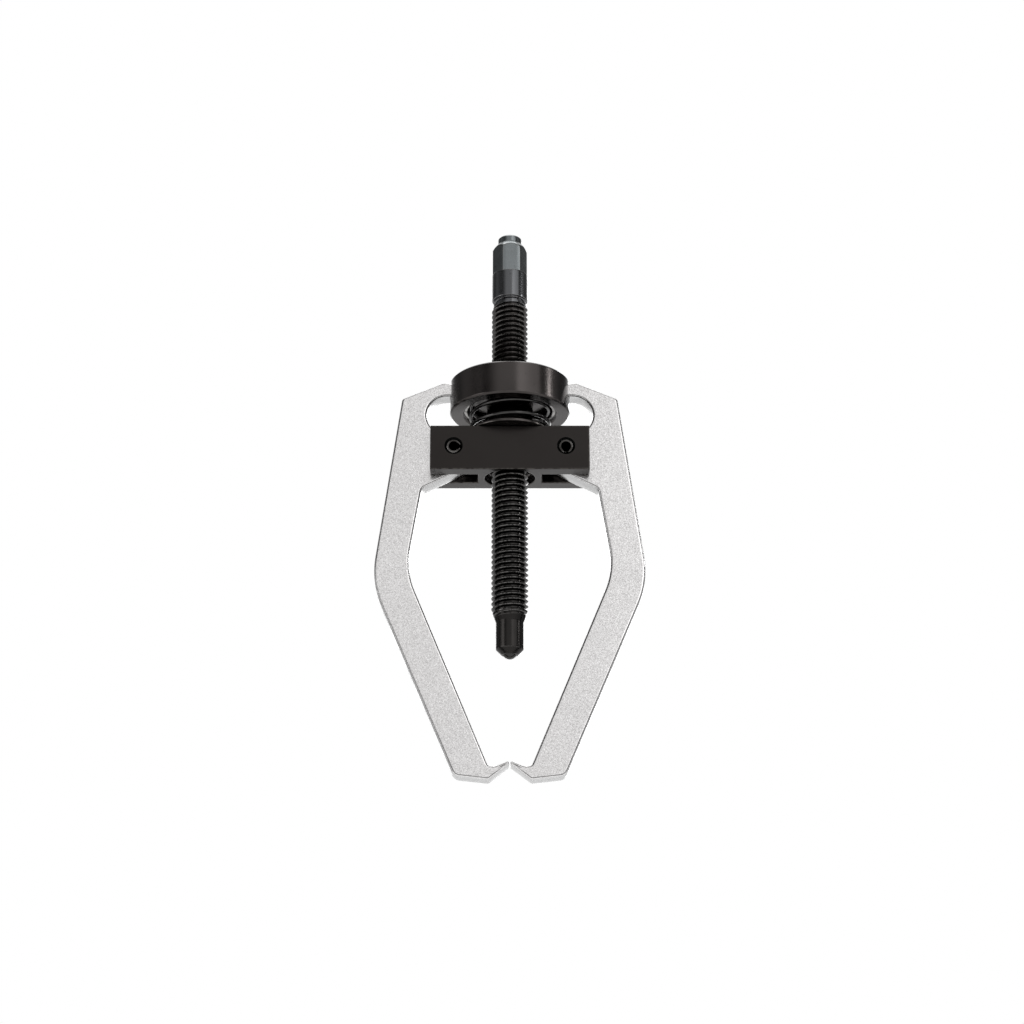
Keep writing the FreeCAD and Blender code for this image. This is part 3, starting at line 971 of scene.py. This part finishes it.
def spindleEnds():
    s = screw
    n = s["segments"]
    verts, faces = turnedRings(seatAndPin(), n)
    collar = roundedCorner([
        (s["relief"], s["collarLow"]), (s["collar"], s["collarLow"]),
        (s["collar"], s["hexLow"]), (s["flats"] / 2, s["hexLow"])], s["collarEdge"], 3)[:-1]
    upVerts, upFaces = turnedRings(collar, n)
    faces += [[i + len(verts) for i in f] for f in upFaces]
    verts += upVerts
    # hexagon, coned at its top, then the stub
    foot, coneLow, stubLow = s["hexLow"], s["coneLow"], s["stubLow"]
    hair = 0.02
    levels = [foot, foot + hair]
    levels += [foot + (coneLow - foot) * k / 4 for k in range(1, 5)]
    levels += [coneLow + (stubLow - coneLow) * k / 12 for k in range(1, 13)]
    start = len(verts)
    cornerR = s["flats"] / 2 / math.cos(math.radians(30)) - s["cornerBreak"]
    for z in levels:
        slope = (z - coneLow) / (stubLow - coneLow)
        cone = cornerR if slope < 0 else cornerR + (s["stub"] - cornerR) * slope
        for i in range(n):
            angle = 2 * math.pi * i / n
            r = min(hexRadius(angle, s["flats"], s["turn"]), cone)
            verts.append((r * math.cos(angle), r * math.sin(angle), z))
    for k in range(len(levels) - 1):
        for i in range(n):
            j = (i + 1) % n
            a = start + k * n
            faces.append([a + i, a + j, a + n + j, a + n + i])
    stub = roundedCorner([
        (s["stub"], stubLow), (s["stub"], s["top"] - s["stubBevel"]),
        (s["stub"] - s["stubBevel"], s["top"]), (0, s["top"])], s["stubEdge"], 2)
    capVerts, capFaces = turnedRings(stub, n)
    faces += [[i + len(verts) for i in f] for f in capFaces]
    verts += capVerts
    # the step from the collar's rim to the foot of the hexagon
    base = len(verts)
    verts += [(x, y, foot) for x, y in arcRun((0, 0), collar[-1][0], 0.0, 2 * math.pi, n)[:-1]]
    for i in range(n):
        j = (i + 1) % n
        faces.append([base + i, base + j, start + j, start + i])
    return verts, faces


def makeSpindle():
    s = screw
    verts, faces = spindleEnds()
    ends = addMesh("spindleEnds", verts, faces)
    obj = addMesh("spindleScrew", [(0, 0, 0)], [])
    low = s["pinTop"]
    turns = math.ceil((s["collarLow"] - low) / s["pitch"]) + 2
    runTree(obj, buildThreadTree(), {
        "Turns": turns, "Segments": s["segments"], "Profile Steps": s["profileSteps"],
        "Start": (low - 2 * s["pitch"]) * mm, "Pitch": s["pitch"] * mm, "Crest": s["crest"] * mm,
        "Root": s["root"] * mm, "Pin": s["pin"] * mm, "Low": low * mm, "Taper": s["threadLow"] * mm,
        "Relief Start": s["reliefLow"] * mm, "Relief Run": s["reliefRun"] * mm,
        "Relief": s["relief"] * mm, "High": s["collarLow"] * mm,
        "Crest Flat": s["crestFlat"], "Root Flat": s["rootFlat"], "Material": blackThread})
    bm = bmesh.new()
    bm.from_mesh(obj.data)
    bm.from_mesh(ends.data)
    bmesh.ops.remove_doubles(bm, verts=bm.verts, dist=0.004 * mm)
    bmesh.ops.dissolve_degenerate(bm, edges=bm.edges, dist=0.001 * mm)
    bmesh.ops.recalc_face_normals(bm, faces=bm.faces)
    openEdges = sum(1 for e in bm.edges if len(e.link_faces) != 2)
    bm.to_mesh(obj.data)
    bm.free()
    bpy.data.objects.remove(ends)
    print("spindle faces", len(obj.data.polygons), "open edges", openEdges)
    dress(obj, blackThread, hem=True)
    return obj


piece = makeSpindle()
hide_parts("spindle")
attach(piece, "screw")


def makeBall():
    radius, z = screw["ball"], screw["ballZ"]
    around = arcRun((0, z), radius, -math.pi / 2, math.pi, 32)
    obj = turned("pressureBall", [(0, z - radius)] + around[1:-1] + [(0, z + radius)], 64)
    dress(obj, darkWire, sharp=60.0)
    return obj


piece = makeBall()
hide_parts("pressure_ball")
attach(piece, "point")
print("spindle made")

# ring spring
spring = {
    "radius": 12.75, "wire": 1.3, "low": 116.5, "high": 124.9, "closedTurns": 0.8, "activeTurns": 1.37,
    "closedRise": 1.06, "startAngle": -57.0, "samples": 220, "sides": 20,
}


def buildSpringTree():
    # a wire along a helix, with closed turns at both ends
    tree, inp, out = nodeTree("compressionSpring", [
        ("Turns", "NodeSocketFloat", 3.0), ("Radius", "NodeSocketFloat", 0.0127),
        ("Wire", "NodeSocketFloat", 0.00065), ("Low", "NodeSocketFloat", 0.1165),
        ("High", "NodeSocketFloat", 0.1249), ("End Share", "NodeSocketFloat", 0.27),
        ("End Rise", "NodeSocketFloat", 0.001), ("Start Angle", "NodeSocketFloat", 0.0),
        ("Samples", "NodeSocketInt", 220), ("Sides", "NodeSocketInt", 20),
        ("Material", "NodeSocketMaterial", None)])
    o = inp.outputs
    line = tree.nodes.new("GeometryNodeCurvePrimitiveLine")
    sample = tree.nodes.new("GeometryNodeResampleCurve")
    link(tree, line.outputs[0], sample.inputs["Curve"])
    link(tree, o["Samples"], sample.inputs["Count"])
    factor = tree.nodes.new("GeometryNodeSplineParameter").outputs["Factor"]
    wound = mathNode(tree, "MULTIPLY", factor, mathNode(tree, "MULTIPLY", o["Turns"], 2 * math.pi))
    angle = mathNode(tree, "ADD", o["Start Angle"], wound)
    lastShare = mathNode(tree, "SUBTRACT", 1.0, o["End Share"])
    middleTop = mathNode(tree, "SUBTRACT", o["High"], o["End Rise"])
    middleLow = mathNode(tree, "ADD", o["Low"], o["End Rise"])
    climb = mathNode(tree, "SUBTRACT", middleTop, middleLow)
    first = ramp(tree, factor, 0.0, o["End Share"], o["Low"], middleLow)
    middle = ramp(tree, factor, o["End Share"], lastShare, 0.0, climb)
    last = ramp(tree, factor, lastShare, 1.0, 0.0, o["End Rise"])
    z = mathNode(tree, "ADD", mathNode(tree, "ADD", first, middle), last)
    coil = moved(tree, sample.outputs[0], joined(tree, o["Radius"], angle, z))
    circle = tree.nodes.new("GeometryNodeCurvePrimitiveCircle")
    link(tree, o["Sides"], circle.inputs["Resolution"])
    link(tree, o["Wire"], circle.inputs["Radius"])
    sweep = tree.nodes.new("GeometryNodeCurveToMesh")
    link(tree, coil, sweep.inputs["Curve"])
    link(tree, circle.outputs[0], sweep.inputs["Profile Curve"])
    sweep.inputs["Fill Caps"].default_value = True
    closeTree(tree, sweep.outputs[0], out, o["Material"])
    return tree


def makeSpring():
    s = spring
    total = 2 * s["closedTurns"] + s["activeTurns"]
    obj = addMesh("ringSpring", [(0, 0, 0)], [])
    runTree(obj, buildSpringTree(), {
        "Turns": total, "Radius": s["radius"] * mm, "Wire": s["wire"] / 2 * mm, "Low": s["low"] * mm,
        "High": s["high"] * mm, "End Share": s["closedTurns"] / total, "End Rise": s["closedRise"] * mm,
        "Start Angle": math.radians(s["startAngle"]), "Samples": s["samples"], "Sides": s["sides"],
        "Material": darkWire})
    cleanMesh(obj.data, gap=0.001)
    dress(obj, darkWire, sharp=50.0)
    return obj


piece = makeSpring()
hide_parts("ring_spring")
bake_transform(piece)
print("spring made")

# floor, light, camera
studio = {
    "floorZ": -0.30, "floorSize": 3.0, "floorColour": (0.86, 0.86, 0.86), "aim": (0, 0, 0.095),
    "fill": 0.90, "background": 1.0, "sideFrom": 0.30, "sideTo": 0.68, "sideDim": 0.14,
    "panelFrom": 0.84, "panelTo": 0.97, "panel": 0.45,
    "lamps": [
        ("keyLamp", (0.55, -0.75, 0.42), 0.80, 2.2),
        ("stripLamp", (0.86, -0.15, 0.42), 0.12, 0.8),
        ("leftLamp", (-0.75, -0.45, 0.15), 0.50, 1.6),
        ("topLamp", (0.0, 0.1, 0.95), 0.60, 2.4),
        ("rearLamp", (0.1, 0.85, 0.35), 0.60, 2.4)],
}


def pale(name, colour, roughness=0.8):
    mat = bpy.data.materials.new(name)
    mat.use_nodes = True
    shader = mat.node_tree.nodes["Principled BSDF"]
    shader.inputs["Base Color"].default_value = (*colour, 1)
    shader.inputs["Roughness"].default_value = roughness
    return mat


def makeStudio():
    s = studio
    half = s["floorSize"] / 2 / mm
    z = s["floorZ"] / mm
    corners = [(-half, -half, z), (half, -half, z), (half, half, z), (-half, half, z)]
    floor = addMesh("studioFloor", corners, [(0, 1, 2, 3)])
    floor.data.materials.append(pale("paleFloor", s["floorColour"]))
    world = bpy.data.worlds.new("studioWorld")
    bpy.context.scene.world = world
    world.use_nodes = True
    tree = world.node_tree
    tree.nodes.clear()
    out = tree.nodes.new("ShaderNodeOutputWorld")
    path = tree.nodes.new("ShaderNodeLightPath")
    seen = mathNode(tree, "MAXIMUM", path.outputs["Is Camera Ray"], path.outputs["Is Glossy Ray"])
    seen = mathNode(tree, "MAXIMUM", seen, path.outputs["Is Transmission Ray"])
    soft = tree.nodes.new("ShaderNodeBackground")
    soft.inputs["Strength"].default_value = s["fill"]
    white = tree.nodes.new("ShaderNodeBackground")
    white.inputs["Color"].default_value = (1, 1, 1, 1)
    # the studio is dark at both sides, which only reflections show
    split = tree.nodes.new("ShaderNodeSeparateXYZ")
    link(tree, tree.nodes.new("ShaderNodeTexCoord").outputs["Generated"], split.inputs[0])
    sideways = mathNode(tree, "ABSOLUTE", split.outputs["X"])
    dim = rangeNode(tree, sideways, s["sideFrom"], s["sideTo"], s["background"], s["sideDim"])
    panel = rangeNode(tree, sideways, s["panelFrom"], s["panelTo"], 0.0, s["panel"])
    dim = mathNode(tree, "ADD", dim, panel)
    plain = mathNode(tree, "SUBTRACT", s["background"], path.outputs["Is Glossy Ray"])
    link(tree, mathNode(tree, "MAXIMUM", plain, dim), white.inputs["Strength"])
    soft.inputs["Color"].default_value = (1, 1, 1, 1)
    mix = tree.nodes.new("ShaderNodeMixShader")
    link(tree, seen, mix.inputs[0])
    link(tree, soft.outputs[0], mix.inputs[1])
    link(tree, white.outputs[0], mix.inputs[2])
    link(tree, mix.outputs[0], out.inputs["Surface"])
    for name, place, size, power in s["lamps"]:
        data = bpy.data.lights.new(name, "AREA")
        data.shape = "DISK"
        data.size = size
        data.energy = power
        lamp = bpy.data.objects.new(name, data)
        bpy.context.scene.collection.objects.link(lamp)
        lamp.location = place
        lamp.rotation_euler = (Vector(s["aim"]) - Vector(place)).to_track_quat("-Z", "Y").to_euler()


lens = {"elevation": -20.0, "distance": 0.740, "focal": 80.9, "aimZ": 0.0886, "shiftX": 0.0021}


def makeCamera():
    data = bpy.data.cameras.new("mainCamera")
    data.lens = lens["focal"]
    data.sensor_width = 36.0
    data.shift_x = lens["shiftX"]
    data.clip_start = 0.01
    camera = bpy.data.objects.new("mainCamera", data)
    bpy.context.scene.collection.objects.link(camera)
    tilt = math.radians(lens["elevation"])
    away = lens["distance"]
    camera.location = (0, -away * math.cos(tilt), lens["aimZ"] + away * math.sin(tilt))
    camera.rotation_euler = (math.radians(90) - tilt, 0, 0)
    bpy.context.scene.camera = camera


makeStudio()
makeCamera()
bpy.context.scene.view_settings.view_transform = "Standard"
print("studio made")
